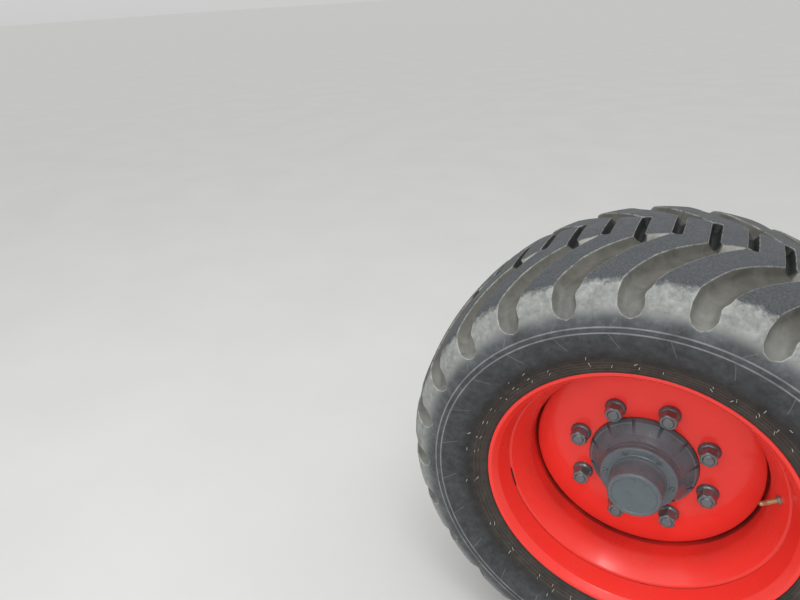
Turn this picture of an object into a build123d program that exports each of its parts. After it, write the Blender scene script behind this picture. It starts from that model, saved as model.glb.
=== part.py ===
from build123d import *
from math import cos, radians, sin, tan
import os

# Main wheel of a large square baler on its braked stub axle, in millimetres.
# Y is the axle's line and -Y is outboard. Y = 0 is the beam's inner end face.
# -X is the machine's front and +Z is up.

# Wheel's centre plane along the axle
rim_centre_y = -484.0

# Tyre, 500/45-22.5 size
tyre_radius = 508.0
tyre_width = 498.0
bulge_drop = 110.0
casing_wall = 18.0
tread_wall = 20.0
lip_cover = 1.5
bead_width = 33.0
bead_height = 9.0
bead_heel = 5.0
# Columns: drop below the crown, inset from the tyre's side
tread_profile = [(13, 89), (41, 32), (76, 6)]
floor_profile = [(43, 59), (93, -3)]

# Tread's curved grooves, one outline for each half. Angles are in degrees
groove_count = 25
groove_depth = 20.0
first_groove_angle = 8.9
slot_width = 19.5
slot_overlap = 48.0
# Columns: angle from the groove's tip, inset from the tyre's side
leading_edge = [(2.7, 2), (-0.1, 81), (-6.6, 150), (-11.6, 185)]
trailing_edge = [(-19.3, 205), (-6.8, 81), (-2.7, 2)]

# Rim, 16.00x22.5 drop centre
rim_width = 406.4
rim_wall = 6.0
flange_height = 12.7
bead_seat_radius = 285.75
seat_drop = 13.5
seat_length = 54.0
well_radius = 242.0
well_start = 100.0
well_end = 250.0
seat_clearance = 0.3
flange_curl = 8.0
flange_corner = 4.0
rim_draft = 2.0
well_corner = 16.0
corner_reach = 0.1

# Wheel disc
disc_plate = 14.0
disc_face_inset = 141.0
disc_dish = 14.0
disc_flat_edge = 34.5
disc_clearance = 0.3
disc_bend = 40.0

# Studs and nuts, M22 on a 275 mm circle
stud_count = 8
stud_circle_radius = 137.5
stud_radius = 11.0
stud_proud = 34.0
stud_hole_clearance = 1.0
first_stud_angle = 28.7
nut_across_flats = 32.0
nut_height = 31.5
nut_collar_radius = 22.0
nut_collar_height = 8.0
nut_collar_taper = 24.0
thread_clearance = 0.1
stud_head_radius = 15.0
stud_head = 6.0

# Valve through the rim's sloping wall
valve_angle = 7.4
valve_length = 41.0
valve_stem_radius = 4.5
valve_nut_radius = 9.0
valve_nut = 6.0
valve_head = 3.0
valve_cap_radius = 4.0
valve_cap = 12.0

# Hub
spigot_gap = 5.5
spigot_lip = 7.0
spigot_chamfer = 3.0
hub_flange_edge = 28.5
hub_flange_plate = 18.0
cone_fall = 30.0
cone_height = 42.0
hub_notch_count = 12
first_notch_angle = 15.0
hub_notch_width = 5.0
hub_notch_depth = 6.0
notch_start = 10.0
cone_shoulder = 6.0
hub_barrel_radius = 76.0
hub_barrel_length = 96.0

# Bearing cover and hub cap
cover_inset = 3.0
cover_plate = 15.0
cover_opening = 46.0
cover_step = 5.0
cap_radius = 53.0
cap_height = 50.0
cap_wall = 3.0
cap_border = 6.0
cap_border_height = 1.6

# Spindle and its bearings' lands
inner_bearing_radius = 40.0
outer_bearing_radius = 27.5
bearing_land = 34.0
running_clearance = 0.05
hub_relief = 6.0
outer_land_inset = 8.0
collar_radius = 50.0
spindle_tail = 34.0
spindle_step = 2.0

# Brake drum, 350x90
drum_inner_radius = 175.0
drum_wall = 17.0
drum_web = 12.0
drum_depth = 104.0
drum_bore_clearance = 0.5
drum_rib_height = 5.0
drum_rib_width = 8.0
moving_gap = 5.0

# Dust shield, anchor plate and beam
shield_plate = 2.5
shield_rim = 8.0
shield_lip = 14.0
shield_split = 2.0
anchor_plate = 16.0
anchor_radius = 92.0
seat_gap = 0.3
beam_side = 120.0
beam_corner = 9.0

# Camshaft and slack adjuster
cam_offset = 132.0
camshaft_radius = 18.0
camshaft_chamfer = 2.0
bush_wall = 10.0
bush_length = 34.0
cam_end_inset = 12.0
lever_y = -150.0
lever_length = 150.0
lever_plate = 20.0
lever_boss_radius = 34.0
lever_boss_length = 44.0
lever_arm_inset = 6.0
lever_eye_radius = 16.0
worm_radius = 13.0
worm_length = 74.0
worm_height = 30.0
brake_half_angle = 8.0
camshaft_tail = 14.0
spline_clearance = 0.1
cam_bracket_plate = 14.0
cam_bracket_y = -205.0
cam_bracket_foot = 12.0
cam_bracket_height = 96.0

# Brake chamber, its bracket and the push rod
chamber_radius = 78.0
chamber_neck_radius = 46.0
chamber_depth = 118.0
chamber_band_radius = 86.0
chamber_band_width = 16.0
chamber_band_place = 50.0
chamber_face_x = 12.0
chamber_shoulder = 10.0
chamber_draft = 8.0
chamber_end = 24.0
chamber_plate = 10.0
bracket_half_width = 62.0
bracket_top = 50.0
bracket_corner = 18.0
gusset_place = 45.0
gusset_plate = 8.0
gusset_height = 55.0
port_radius = 7.0
port_depth = 14.0
rod_radius = 8.0
rod_guide_clearance = 0.3
rod_hole_clearance = 4.0
rod_tail = 56.0
pin_radius = 7.0
pin_clearance = 1.0
pin_head_radius = 11.0
pin_head = 3.0
fork_ear = 7.0
fork_gap = 1.0
fork_height = 28.0
fork_throat = 26.0
fork_base = 14.0

# Sizes and places along the axle, worked out from the sizes above
spigot_radius = stud_circle_radius - nut_collar_radius - spigot_gap
cone_radius = spigot_radius - cone_fall
cover_radius = cone_radius - cover_inset
hub_flange_radius = stud_circle_radius + hub_flange_edge
disc_flat_radius = stud_circle_radius + disc_flat_edge
seat_half = rim_width / 2
lip_half = seat_half + flange_height
outer_lip_y = rim_centre_y - lip_half
lip_radius = bead_seat_radius + flange_height
disc_face_y = outer_lip_y + disc_face_inset
hub_flange_y = disc_face_y + disc_plate
drum_web_y = hub_flange_y + hub_flange_plate
drum_mouth_y = drum_web_y + drum_depth
drum_radius = drum_inner_radius + drum_wall
hub_back_y = hub_flange_y + hub_barrel_length
spigot_y = disc_face_y - spigot_lip
cone_end_y = spigot_y - cone_height
cover_face_y = cone_end_y - cover_plate
shield_y = drum_mouth_y + moving_gap
anchor_y = shield_y + shield_plate + seat_gap
beam_outer_y = anchor_y + anchor_plate
bush_radius = camshaft_radius + bush_wall
seat_slope = seat_drop / seat_length
bead_base = bead_seat_radius + seat_clearance
beam_half = beam_side / 2
tyre_half = tyre_width / 2
bulge_radius = tyre_radius - bulge_drop
pitch_angle = 360 / groove_count
flat_angle = pitch_angle / 2

# Brake linkage at rest: the arm leans back by half its working angle
half_angle = radians(brake_half_angle)
rod_z = lever_length * (1 + cos(half_angle)) / 2
pin_x = cam_offset - lever_length * sin(half_angle)
pin_z = lever_length * cos(half_angle)
fork_inner = lever_plate / 2 + fork_gap
fork_outer = fork_inner + fork_ear
rod_end_x = pin_x - fork_throat - fork_base

# Valve's place: middle of the rim's wall between seat and well, square to it
wall_start = Vector(bead_seat_radius - seat_drop - rim_wall, -seat_half + seat_length)
wall_end = Vector(well_radius - rim_wall, -seat_half + well_start)
wall_middle = (wall_start + wall_end) * 0.5
wall_way = (wall_end - wall_start).normalized()
valve_cos = cos(radians(valve_angle))
valve_sin = sin(radians(valve_angle))
valve_plane = Plane(
    origin=(wall_middle.X * valve_cos, rim_centre_y + wall_middle.Y, wall_middle.X * valve_sin),
    x_dir=(-valve_sin, 0, valve_cos),
    z_dir=(-wall_way.Y * valve_cos, wall_way.X, -wall_way.Y * valve_sin),
)

os.makedirs("parts", exist_ok=True)


def section(y):
    """Plane for a turned profile: local x is the radius, local y runs along the axle."""
    return Plane(origin=(0, y, 0), x_dir=(1, 0, 0), z_dir=(0, 0, 1))


def across(y):
    """Plane square to the axle, seen from outboard, with x backwards and y up."""
    return Plane(origin=(0, y, 0), x_dir=(1, 0, 0), z_dir=(0, -1, 0))


# Tyre: hollow casing with its beads on the rim's seats and curved grooves in its tread.
# One pitch of the tread is two flat sectors, modelled about Z with the outboard side up.
tyre_reach = tyre_radius + groove_depth
cavity_radius = tyre_radius - groove_depth - tread_wall
cavity_floor = bead_seat_radius - bead_width
casing_floor = bead_seat_radius - seat_drop
outside = [
    (tyre_radius, 0),
    *[(tyre_radius - drop, tyre_half - inset) for drop, inset in tread_profile],
    (bulge_radius, tyre_half),
    (lip_radius + lip_cover, lip_half),
]
groove_floor = [
    (tyre_radius - groove_depth, 0),
    *[(tyre_radius - drop, tyre_half - inset) for drop, inset in floor_profile],
]
cavity = [
    (cavity_radius, 0),
    (cavity_radius - tread_profile[0][0], tyre_half - tread_profile[0][1]),
    (bulge_radius, tyre_half - casing_wall),
    (bead_seat_radius + bead_height, seat_half - bead_width),
    (bead_base - seat_slope * bead_width, seat_half - bead_width),
    (bead_base - seat_slope * bead_heel, seat_half - bead_heel),
    (bead_seat_radius + bead_heel, seat_half - seat_clearance),
    (lip_radius + seat_clearance, seat_half),
    (lip_radius + seat_clearance, tyre_half),
    (cavity_floor, tyre_half),
    (cavity_floor, 0),
]


def ring_sector(points, angle):
    """Flat sector of a ring about Z: its half profile mirrored, extruded and cut to the angle."""
    spread = tyre_reach * tan(radians(angle / 2))
    with BuildPart() as sector:
        with BuildSketch(Plane.XZ):
            with BuildLine():
                Polyline(*points)
                mirror(about=Plane.XZ)
            make_face()
        extrude(amount=spread, both=True)
        with BuildSketch(Plane.XY):
            with BuildLine():
                Polyline((0, 0), (tyre_reach, spread), (tyre_reach, -spread), close=True)
            make_face()
        extrude(amount=tyre_width, both=True, mode=Mode.INTERSECT)
    return sector.part


def at_corners(points):
    """The same points on a flat sector whose corners lie at their radius."""
    return [(radius * cos(radians(flat_angle / 2)), place) for radius, place in points]


def tread_place(angle, inset):
    """Sideways and axial place on the tread of a point at an angle from the groove's middle."""
    place = tyre_half - inset
    for (inner, start), (outer, stop) in zip(outside, outside[1:-1]):
        if place >= start:
            radius = inner + (outer - inner) * (place - start) / (stop - start)
    return radius * sin(radians(angle - groove_middle)), place


casing_sector = ring_sector(
    at_corners([*outside, (casing_floor, lip_half), (casing_floor, 0)]), flat_angle
)
band_sector = ring_sector(
    at_corners([*groove_floor, (tyre_reach, groove_floor[-1][1]), (tyre_reach, 0)]), flat_angle
)
cavity_sector = ring_sector(cavity, pitch_angle)

groove_middle = (leading_edge[0][0] + trailing_edge[0][0]) / 2
with BuildPart() as near_groove:
    with BuildSketch(Plane.YZ):
        with BuildLine():
            edge_points = [tread_place(*point) for point in leading_edge + trailing_edge]
            Polyline(*edge_points, close=True)
        make_face()
        slot_start = tread_place(*leading_edge[-1])
        with Locations((slot_start[0], -slot_overlap)):
            Rectangle(slot_width, slot_overlap + slot_start[1], align=(Align.MAX, Align.MIN))
    extrude(amount=tyre_reach)
far_groove = mirror(near_groove.part, about=Plane.XY)

with BuildPart() as tread_band:
    for turn in (flat_angle / 2, 3 * flat_angle / 2):
        add(band_sector, rotation=(0, 0, turn))

with BuildPart() as grooves:
    for step in range(-1, 3):
        turn = groove_middle + first_groove_angle + step * pitch_angle
        add(near_groove.part, rotation=(0, 0, turn))
        add(far_groove, rotation=(0, 0, turn - flat_angle))
    add(tread_band.part, mode=Mode.INTERSECT)

with BuildPart() as tyre_pitch:
    for turn in (flat_angle / 2, 3 * flat_angle / 2):
        add(casing_sector, rotation=(0, 0, turn))
    add(grooves.part, mode=Mode.SUBTRACT)
    add(cavity_sector, rotation=(0, 0, flat_angle), mode=Mode.SUBTRACT)

with BuildPart(across(rim_centre_y)) as tyre:
    with PolarLocations(0, groove_count):
        add(tyre_pitch.part)
tyre.part.label = "tyre"
export_step(tyre.part, "parts/tyre.step")

# Rim: one rolled section with two flanges, tapered bead seats and a drop centre
with BuildPart() as rim:
    with BuildSketch(section(rim_centre_y)) as rim_section:
        seat_end = bead_seat_radius - seat_drop
        # Columns: radius, distance from the centre plane
        tyre_side = [
            (lip_radius, -lip_half + rim_wall),
            (bead_seat_radius, -seat_half),
            (seat_end, -seat_half + seat_length),
            (well_radius, -seat_half + well_start),
            (well_radius, -seat_half + well_end),
            (seat_end, seat_half - seat_length),
            (bead_seat_radius, seat_half),
            (lip_radius, lip_half - rim_wall),
        ]
        disc_side = [
            (lip_radius, lip_half),
            (lip_radius - flange_curl, lip_half - rim_draft),
            (bead_seat_radius - rim_wall, seat_half - 2 * rim_draft),
            (seat_end - rim_wall, seat_half - seat_length + rim_draft),
            (well_radius - rim_wall, -seat_half + well_end - rim_draft),
            (well_radius - rim_wall, -seat_half + well_start + rim_draft),
            (seat_end - rim_wall, -seat_half + seat_length - rim_draft),
            (bead_seat_radius - rim_wall, -seat_half + 2 * rim_draft),
            (lip_radius - flange_curl, -lip_half + rim_draft),
            (lip_radius, -lip_half),
        ]
        with BuildLine():
            Polyline(*tyre_side, *disc_side, close=True)
        make_face()
        drop_corners = rim_section.vertices().filter_by(
            lambda corner: corner.X < seat_end + corner_reach
        )
        fillet(drop_corners, radius=well_corner)
        flange_corners = rim_section.vertices().filter_by(
            lambda corner: bead_seat_radius - rim_wall - corner_reach < corner.X < lip_radius - corner_reach
        )
        fillet(flange_corners, radius=flange_corner)
    revolve(axis=Axis.Y)
    with BuildSketch(valve_plane):
        Circle(valve_stem_radius + seat_clearance)
    extrude(amount=2 * rim_wall, both=True, mode=Mode.SUBTRACT)
rim.part.label = "rim"
export_step(rim.part, "parts/rim.step")

# Wheel disc: pressed plate, flat at the studs and dished towards the rim
with BuildPart() as wheel_disc:
    with BuildSketch(section(disc_face_y)) as disc_section:
        with BuildLine():
            disc_edge = well_radius - rim_wall - disc_clearance
            Polyline(
                (spigot_radius + disc_clearance, 0),
                (disc_flat_radius, 0),
                (disc_edge, disc_dish),
                (disc_edge, disc_dish + disc_plate),
                (disc_flat_radius, disc_plate),
                (spigot_radius + disc_clearance, disc_plate),
                close=True,
            )
        make_face()
        fillet(disc_section.vertices().group_by(Axis.X)[1], radius=disc_bend)
    revolve(axis=Axis.Y)
    with BuildSketch(across(disc_face_y)):
        with PolarLocations(stud_circle_radius, stud_count, start_angle=first_stud_angle):
            Circle(stud_radius + stud_hole_clearance)
    extrude(amount=-disc_plate, mode=Mode.SUBTRACT)
wheel_disc.part.label = "wheel_disc"
export_step(wheel_disc.part, "parts/wheel_disc.step")

# Valve: brass stem through the rim's sloping wall, square to it
with BuildPart() as valve:
    with BuildSketch(valve_plane.offset(-rim_wall - seat_gap)):
        Circle(valve_nut_radius)
    extrude(amount=-valve_head)
    with BuildSketch(valve_plane.offset(-rim_wall - seat_gap)):
        Circle(valve_stem_radius)
    extrude(amount=rim_wall + seat_gap + valve_length)
    with BuildSketch(valve_plane.offset(seat_gap)):
        RegularPolygon(valve_nut_radius, 6)
    extrude(amount=valve_nut)
    with BuildSketch(valve_plane.offset(valve_length - valve_cap)):
        Circle(valve_cap_radius)
    extrude(amount=valve_cap)
valve.part.label = "valve"
export_step(valve.part, "parts/valve.step")

# Hub: spigot and notched cone outside the disc, flange and barrel behind it
outer_land_y = cone_end_y + outer_land_inset
with BuildPart() as hub_notch:
    with BuildSketch(section(0)):
        with BuildLine():
            Polyline(
                (cone_radius + notch_start, cone_end_y),
                (spigot_radius + seat_gap, cone_end_y),
                (spigot_radius + seat_gap, spigot_y + hub_notch_depth),
                (spigot_radius - spigot_chamfer, spigot_y + hub_notch_depth),
                close=True,
            )
        make_face()
    extrude(amount=hub_notch_width / 2, both=True)

with BuildPart() as hub:
    with BuildSketch(section(0)):
        with BuildLine():
            Polyline(
                (cover_opening, cone_end_y),
                (cone_radius, cone_end_y),
                (cone_radius, cone_end_y + cone_shoulder),
                (spigot_radius - spigot_chamfer, spigot_y),
                (spigot_radius, spigot_y + spigot_chamfer),
                (spigot_radius, hub_flange_y),
                (hub_flange_radius, hub_flange_y),
                (hub_flange_radius, drum_web_y),
                (hub_barrel_radius, drum_web_y),
                (hub_barrel_radius, hub_back_y),
                (inner_bearing_radius + running_clearance, hub_back_y),
                (inner_bearing_radius + running_clearance, hub_back_y - bearing_land),
                (inner_bearing_radius + hub_relief, hub_back_y - bearing_land),
                (inner_bearing_radius + hub_relief, outer_land_y + bearing_land + hub_relief),
                (outer_bearing_radius + running_clearance, outer_land_y + bearing_land),
                (outer_bearing_radius + running_clearance, outer_land_y),
                (cover_opening, outer_land_y),
                close=True,
            )
        make_face()
    revolve(axis=Axis.Y)
    with BuildSketch(across(hub_flange_y)):
        with PolarLocations(stud_circle_radius, stud_count, start_angle=first_stud_angle):
            Circle(stud_radius + thread_clearance)
    extrude(amount=-hub_flange_plate, mode=Mode.SUBTRACT)
    for step in range(hub_notch_count):
        notch_angle = first_notch_angle + step * 360 / hub_notch_count
        add(hub_notch.part, rotation=(0, -notch_angle, 0), mode=Mode.SUBTRACT)
hub.part.label = "hub"
export_step(hub.part, "parts/hub.step")

# Bearing cover: stepped ring on the hub's nose
with BuildPart() as bearing_cover:
    with BuildSketch(section(0)):
        with BuildLine():
            Polyline(
                (cover_opening, cone_end_y),
                (cover_radius, cone_end_y),
                (cover_radius, cover_face_y + cover_step),
                (cover_radius - cover_step / 2, cover_face_y + cover_step / 2),
                (cap_radius + cover_step, cover_face_y + cover_step / 2),
                (cap_radius + cover_step, cover_face_y),
                (cover_opening, cover_face_y),
                close=True,
            )
        make_face()
    revolve(axis=Axis.Y)
bearing_cover.part.label = "bearing_cover"
export_step(bearing_cover.part, "parts/bearing_cover.step")

# Hub cap: deep cup with a rounded edge and a raised border on its face
with BuildPart() as hub_cap:
    with BuildSketch(section(cover_face_y)) as cap_section:
        with BuildLine():
            Polyline(
                (0, -cap_height),
                (cap_radius - cap_border * 2, -cap_height),
                (cap_radius - cap_border * 2, -cap_height - cap_border_height),
                (cap_radius - cap_border, -cap_height - cap_border_height),
                (cap_radius, -cap_height + cap_border),
                (cap_radius, 0),
                (cap_radius - cap_wall, 0),
                (cap_radius - cap_wall, -cap_height + cap_border),
                (cap_radius - cap_border, -cap_height + cap_wall),
                (0, -cap_height + cap_wall),
                close=True,
            )
        make_face()
    revolve(axis=Axis.Y)
hub_cap.part.label = "hub_cap"
export_step(hub_cap.part, "parts/hub_cap.step")

# Brake drum: web on the hub flange's back and a ribbed barrel open inboard
with BuildPart() as brake_drum:
    with BuildSketch(section(0)):
        with BuildLine():
            drum_bore = hub_barrel_radius + drum_bore_clearance
            rib_radius = drum_radius + drum_rib_height
            first_rib_y = drum_mouth_y - 4 * drum_rib_width
            Polyline(
                (drum_bore, drum_web_y),
                (hub_flange_radius, drum_web_y),
                (drum_radius, drum_web_y + drum_web),
                (drum_radius, first_rib_y),
                (rib_radius, first_rib_y),
                (rib_radius, first_rib_y + drum_rib_width),
                (drum_radius, first_rib_y + drum_rib_width),
                (drum_radius, drum_mouth_y - 1.5 * drum_rib_width),
                (rib_radius, drum_mouth_y - 1.5 * drum_rib_width),
                (rib_radius, drum_mouth_y),
                (drum_inner_radius, drum_mouth_y),
                (drum_inner_radius, drum_web_y + 2 * drum_web),
                (drum_inner_radius - drum_web, drum_web_y + drum_web),
                (drum_bore, drum_web_y + drum_web),
                close=True,
            )
        make_face()
    revolve(axis=Axis.Y)
    with BuildSketch(across(drum_web_y)):
        with PolarLocations(stud_circle_radius, stud_count, start_angle=first_stud_angle):
            Circle(stud_radius + thread_clearance)
    extrude(amount=-drum_web, mode=Mode.SUBTRACT)
brake_drum.part.label = "brake_drum"
export_step(brake_drum.part, "parts/brake_drum.step")

# Wheel studs: pressed through drum web, hub flange and disc, heads in the drum
stud_head_y = drum_web_y + drum_web
with BuildPart() as wheel_studs:
    with BuildSketch(across(stud_head_y)):
        with PolarLocations(stud_circle_radius, stud_count, start_angle=first_stud_angle):
            Circle(stud_radius)
    extrude(amount=stud_head_y - disc_face_y + stud_proud)
    with BuildSketch(across(stud_head_y)):
        with PolarLocations(stud_circle_radius, stud_count, start_angle=first_stud_angle):
            Circle(stud_head_radius)
    extrude(amount=-stud_head)
wheel_studs.part.label = "wheel_studs"
export_step(wheel_studs.part, "parts/wheel_studs.step")

# Wheel nuts: hexagons on round pressed collars
with BuildPart() as wheel_nuts:
    with BuildSketch(across(disc_face_y)):
        with PolarLocations(stud_circle_radius, stud_count, start_angle=first_stud_angle):
            RegularPolygon(nut_across_flats / 2, 6, major_radius=False)
    extrude(amount=nut_height)
    with BuildSketch(across(disc_face_y)):
        with PolarLocations(stud_circle_radius, stud_count, start_angle=first_stud_angle):
            Circle(nut_collar_radius)
    extrude(amount=nut_collar_height, taper=nut_collar_taper)
    with BuildSketch(across(disc_face_y)):
        with PolarLocations(stud_circle_radius, stud_count, start_angle=first_stud_angle):
            Circle(stud_radius + thread_clearance)
    extrude(amount=nut_height, mode=Mode.SUBTRACT)
wheel_nuts.part.label = "wheel_nuts"
export_step(wheel_nuts.part, "parts/wheel_nuts.step")

# Axle beam: square bar with its turned spindle
collar_end_y = hub_back_y + moving_gap
inner_land_end_y = hub_back_y - bearing_land - spindle_step
taper_end_y = outer_land_y + bearing_land + moving_gap
spindle_end_y = outer_land_y - spindle_tail
with BuildPart() as axle_beam:
    with BuildSketch(across(0)) as beam_section:
        Rectangle(beam_side, beam_side)
        fillet(beam_section.vertices(), radius=beam_corner)
    extrude(amount=-beam_outer_y)
    with BuildSketch(section(0)):
        with BuildLine():
            Polyline(
                (0, beam_outer_y),
                (collar_radius, beam_outer_y),
                (collar_radius, collar_end_y),
                (inner_bearing_radius, collar_end_y),
                (inner_bearing_radius, inner_land_end_y),
                (outer_bearing_radius + spindle_step, taper_end_y),
                (outer_bearing_radius, taper_end_y),
                (outer_bearing_radius, spindle_end_y + spindle_step),
                (outer_bearing_radius - spindle_step, spindle_end_y),
                (0, spindle_end_y),
                close=True,
            )
        make_face()
    revolve(axis=Axis.Y)
axle_beam.part.label = "axle_beam"
export_step(axle_beam.part, "parts/axle_beam.step")

# Anchor plate: welded on the beam's end, with the cam bush and the anchor boss
with BuildPart() as anchor_plate_piece:
    with BuildSketch(across(anchor_y)):
        Circle(anchor_radius)
        with Locations((cam_offset, 0), (-cam_offset, 0)):
            Circle(bush_radius)
        make_hull()
    extrude(amount=-anchor_plate)
    with BuildSketch(across(beam_outer_y)):
        with Locations((cam_offset, 0)):
            Circle(bush_radius)
        with Locations((-cam_offset, 0)):
            Circle(bush_radius - bush_wall / 2)
    extrude(amount=-bush_length)
    with BuildSketch(across(anchor_y)):
        Circle(collar_radius + seat_gap)
        with Locations((cam_offset, 0)):
            Circle(camshaft_radius + running_clearance)
    extrude(amount=-anchor_plate - bush_length, mode=Mode.SUBTRACT)
anchor_plate_piece.part.label = "anchor_plate"
export_step(anchor_plate_piece.part, "parts/anchor_plate.step")

# Dust shields: two pressed halves over the drum's mouth, with a turned lip
shield_radius = drum_radius + drum_rib_height + shield_rim
with BuildPart() as dust_shield:
    with BuildSketch(section(shield_y)):
        with BuildLine():
            Polyline(
                (collar_radius + seat_gap, 0),
                (shield_radius - shield_plate, 0),
                (shield_radius - shield_plate, -shield_lip),
                (shield_radius, -shield_lip),
                (shield_radius, shield_plate),
                (collar_radius + seat_gap, shield_plate),
                close=True,
            )
        make_face()
    revolve(axis=Axis.Y)
    with BuildSketch(across(shield_y)):
        with Locations((cam_offset, 0)):
            Circle(camshaft_radius + pin_clearance)
        Rectangle(shield_split, 3 * shield_radius)
    extrude(amount=shield_lip + shield_plate, both=True, mode=Mode.SUBTRACT)
for side, half in zip(("front", "rear"), dust_shield.solids().sort_by(Axis.X)):
    half.label = f"dust_shield_{side}"
    export_step(half, f"parts/dust_shield_{side}.step")

# Cam bracket: carries the camshaft's inner end beside the beam
with BuildPart() as cam_bracket:
    with BuildSketch(across(cam_bracket_y)):
        with Locations((beam_half + cam_bracket_foot / 2, 0)):
            Rectangle(cam_bracket_foot, cam_bracket_height)
        with Locations((cam_offset, 0)):
            Circle(bush_radius)
        make_hull()
    extrude(amount=cam_bracket_plate / 2, both=True)
    with BuildSketch(across(cam_bracket_y)):
        with Locations((cam_offset, 0)):
            Circle(bush_radius)
    extrude(amount=bush_length / 2, both=True)
    with BuildSketch(across(cam_bracket_y)):
        with Locations((cam_offset, 0)):
            Circle(camshaft_radius + running_clearance)
    extrude(amount=bush_length, both=True, mode=Mode.SUBTRACT)
cam_bracket.part.label = "cam_bracket"
export_step(cam_bracket.part, "parts/cam_bracket.step")

# Camshaft: runs beside the beam from the drum to the slack adjuster
cam_start_y = shield_y - cam_end_inset
camshaft_end_y = lever_y + lever_boss_length / 2 + camshaft_tail
with BuildPart() as camshaft:
    with BuildSketch(across(camshaft_end_y)):
        with Locations((cam_offset, 0)):
            Circle(camshaft_radius)
    extrude(amount=camshaft_end_y - cam_start_y)
    chamfer(camshaft.edges().group_by(Axis.Y)[-1], length=camshaft_chamfer)
camshaft.part.label = "camshaft"
export_step(camshaft.part, "parts/camshaft.step")

# Slack adjuster: boss on the camshaft's splines, worm housing and arm
arm_way = Vector(pin_x - cam_offset, pin_z, 0).normalized()
worm_centre = Vector(cam_offset, 0, 0) - arm_way * worm_height
with BuildPart() as slack_adjuster:
    with BuildSketch(across(lever_y)):
        with Locations((cam_offset, 0)):
            Circle(lever_boss_radius - lever_arm_inset)
        with Locations((pin_x, pin_z)):
            Circle(lever_eye_radius)
        make_hull()
    extrude(amount=lever_plate / 2, both=True)
    with BuildSketch(across(lever_y)):
        with Locations((cam_offset, 0)):
            Circle(lever_boss_radius)
    extrude(amount=lever_boss_length / 2, both=True)
    worm_plane = Plane(
        origin=(worm_centre.X, lever_y, worm_centre.Y),
        x_dir=(0, 1, 0),
        z_dir=(arm_way.Y, 0, -arm_way.X),
    )
    with BuildSketch(worm_plane):
        Circle(worm_radius)
    extrude(amount=worm_length / 2, both=True)
    with BuildSketch(across(lever_y)):
        with Locations((cam_offset, 0)):
            Circle(camshaft_radius + spline_clearance)
        with Locations((pin_x, pin_z)):
            Circle(pin_radius + spline_clearance)
    extrude(amount=lever_boss_length, both=True, mode=Mode.SUBTRACT)
slack_adjuster.part.label = "slack_adjuster"
export_step(slack_adjuster.part, "parts/slack_adjuster.step")

# Clevis pin: in the arm's eye, with its head and washer outside the fork
with BuildPart() as clevis_pin:
    with BuildSketch(across(lever_y)):
        with Locations((pin_x, pin_z)):
            Circle(pin_radius)
    extrude(amount=fork_outer + fork_gap + pin_head, both=True)
    for head_y in (lever_y - fork_outer - fork_gap, lever_y + fork_outer + fork_gap + pin_head):
        with BuildSketch(across(head_y)):
            with Locations((pin_x, pin_z)):
                Circle(pin_head_radius)
        extrude(amount=pin_head)
clevis_pin.part.label = "clevis_pin"
export_step(clevis_pin.part, "parts/clevis_pin.step")

# Push rod: runs out of the chamber into the fork
rod_start_x = chamber_face_x - rod_tail
with BuildPart() as push_rod:
    with BuildSketch(Plane(origin=(rod_start_x, lever_y, rod_z), z_dir=(1, 0, 0))):
        Circle(rod_radius)
    extrude(amount=rod_end_x - rod_start_x)
push_rod.part.label = "push_rod"
export_step(push_rod.part, "parts/push_rod.step")

# Fork: straddles the arm's eye, open round the clevis pin
with BuildPart() as fork:
    with BuildSketch(across(lever_y)):
        with Locations(((rod_end_x + pin_x) / 2, rod_z)):
            Rectangle(pin_x - rod_end_x, fork_height)
        with Locations((pin_x, rod_z)):
            Circle(fork_height / 2)
    extrude(amount=fork_outer, both=True)
    with BuildSketch(across(lever_y)):
        with Locations((rod_end_x + fork_base + fork_throat, rod_z)):
            Rectangle(2 * fork_throat, 2 * fork_height)
    extrude(amount=fork_inner, both=True, mode=Mode.SUBTRACT)
    with BuildSketch(across(lever_y)):
        with Locations((pin_x, rod_z)):
            Circle(pin_radius + pin_clearance)
    extrude(amount=fork_outer, both=True, mode=Mode.SUBTRACT)
fork.part.label = "fork"
export_step(fork.part, "parts/fork.step")

# Chamber bracket: upright plate on the beam with two gussets
plate_x = chamber_face_x + chamber_plate
with BuildPart() as chamber_bracket:
    with BuildSketch(Plane(origin=(chamber_face_x, lever_y, 0), x_dir=(0, 1, 0), z_dir=(1, 0, 0))):
        plate_height = rod_z + bracket_top - beam_half
        with Locations((0, beam_half + plate_height / 2)):
            RectangleRounded(2 * bracket_half_width, plate_height, radius=bracket_corner)
        with Locations((0, beam_half + bracket_corner / 2)):
            Rectangle(2 * bracket_half_width, bracket_corner)
        with Locations((0, rod_z)):
            Circle(rod_radius + rod_hole_clearance, mode=Mode.SUBTRACT)
    extrude(amount=chamber_plate)
    for gusset_y in (lever_y - gusset_place, lever_y + gusset_place):
        with BuildSketch(across(gusset_y)):
            with BuildLine():
                Polyline(
                    (plate_x, beam_half),
                    (beam_half - beam_corner, beam_half),
                    (plate_x, beam_half + gusset_height),
                    close=True,
                )
            make_face()
        extrude(amount=gusset_plate / 2, both=True)
chamber_bracket.part.label = "chamber_bracket"
export_step(chamber_bracket.part, "parts/chamber_bracket.step")

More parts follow.
